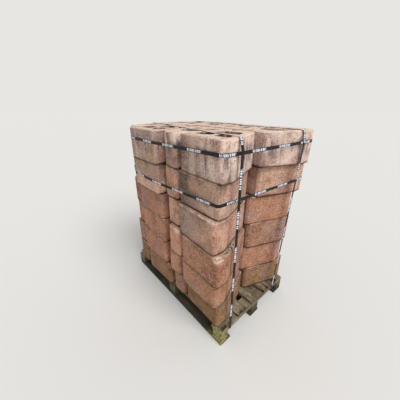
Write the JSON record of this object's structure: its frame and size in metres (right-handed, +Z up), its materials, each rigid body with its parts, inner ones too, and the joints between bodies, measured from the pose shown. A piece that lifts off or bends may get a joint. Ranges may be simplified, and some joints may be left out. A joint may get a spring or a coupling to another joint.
{
  "type": "pallet of concrete retaining wall blocks",
  "caption": "Timber pallet stacked with tapered hollow concrete wall blocks in interlocking courses and held by black plastic strapping.",
  "frame": {"origin": "middle of the pallet's footprint on the ground", "axes": "+Z up, +Y along the pallet's length and the rows of blocks, +X across the two rows from the left row to the right row"},
  "size_m": [0.8359, 1.1767, 1.3453],
  "materials": {
    "pink_brown_concrete": "rough cast, weathered",
    "red_brown_concrete": "rough cast, weathered",
    "terracotta_concrete": "rough cast, weathered",
    "olive_brown_concrete": "rough cast, weathered",
    "weathered_timber": "rough sawn, weathered and mossy",
    "black_strapping": "smooth extruded plastic, slightly glossy"
  },
  "bodies": {
    "root": {"block_1_left_1": "olive_brown_concrete", "block_1_left_2": "olive_brown_concrete", "block_1_left_3": "olive_brown_concrete", "block_1_left_4": "olive_brown_concrete", "block_1_right_1": "olive_brown_concrete", "block_1_right_2": "olive_brown_concrete", "block_1_right_3": "olive_brown_concrete", "block_1_right_4": "olive_brown_concrete", "block_2_left_1": "terracotta_concrete", "block_2_left_2": "terracotta_concrete", "block_2_left_3": "terracotta_concrete", "block_2_left_4": "terracotta_concrete", "block_2_right_1": "terracotta_concrete", "block_2_right_2": "terracotta_concrete", "block_2_right_3": "terracotta_concrete", "block_2_right_4": "terracotta_concrete", "block_3_left_1": "terracotta_concrete", "block_3_left_2": "terracotta_concrete", "block_3_left_3": "terracotta_concrete", "block_3_left_4": "terracotta_concrete", "block_3_right_1": "terracotta_concrete", "block_3_right_2": "terracotta_concrete", "block_3_right_3": "terracotta_concrete", "block_3_right_4": "terracotta_concrete", "block_4_left_1": "terracotta_concrete", "block_4_left_2": "terracotta_concrete", "block_4_left_3": "terracotta_concrete", "block_4_left_4": "terracotta_concrete", "block_4_right_1": "terracotta_concrete", "block_4_right_2": "terracotta_concrete", "block_4_right_3": "terracotta_concrete", "block_4_right_4": "terracotta_concrete", "block_5_left_1": "red_brown_concrete", "block_5_left_2": "red_brown_concrete", "block_5_left_3": "red_brown_concrete", "block_5_left_4": "red_brown_concrete", "block_5_right_1": "red_brown_concrete", "block_5_right_2": "red_brown_concrete", "block_5_right_3": "red_brown_concrete", "block_5_right_4": "red_brown_concrete", "block_6_left_1": "pink_brown_concrete", "block_6_left_2": "pink_brown_concrete", "block_6_left_3": "pink_brown_concrete", "block_6_left_4": "pink_brown_concrete", "block_6_right_1": "pink_brown_concrete", "block_6_right_2": "pink_brown_concrete", "block_6_right_3": "pink_brown_concrete", "block_6_right_4": "pink_brown_concrete", "deck_board_1": "weathered_timber", "deck_board_2": "weathered_timber", "deck_board_3": "weathered_timber", "deck_board_4": "weathered_timber", "deck_board_5": "weathered_timber", "bearers": "weathered_timber", "pallet_blocks": "weathered_timber", "base_boards": "weathered_timber", "strap_round_top_course": "black_strapping", "strap_round_second_course": "black_strapping", "upright_strap_left": "black_strapping", "upright_strap_right": "black_strapping"}
  },
  "joints": []
}
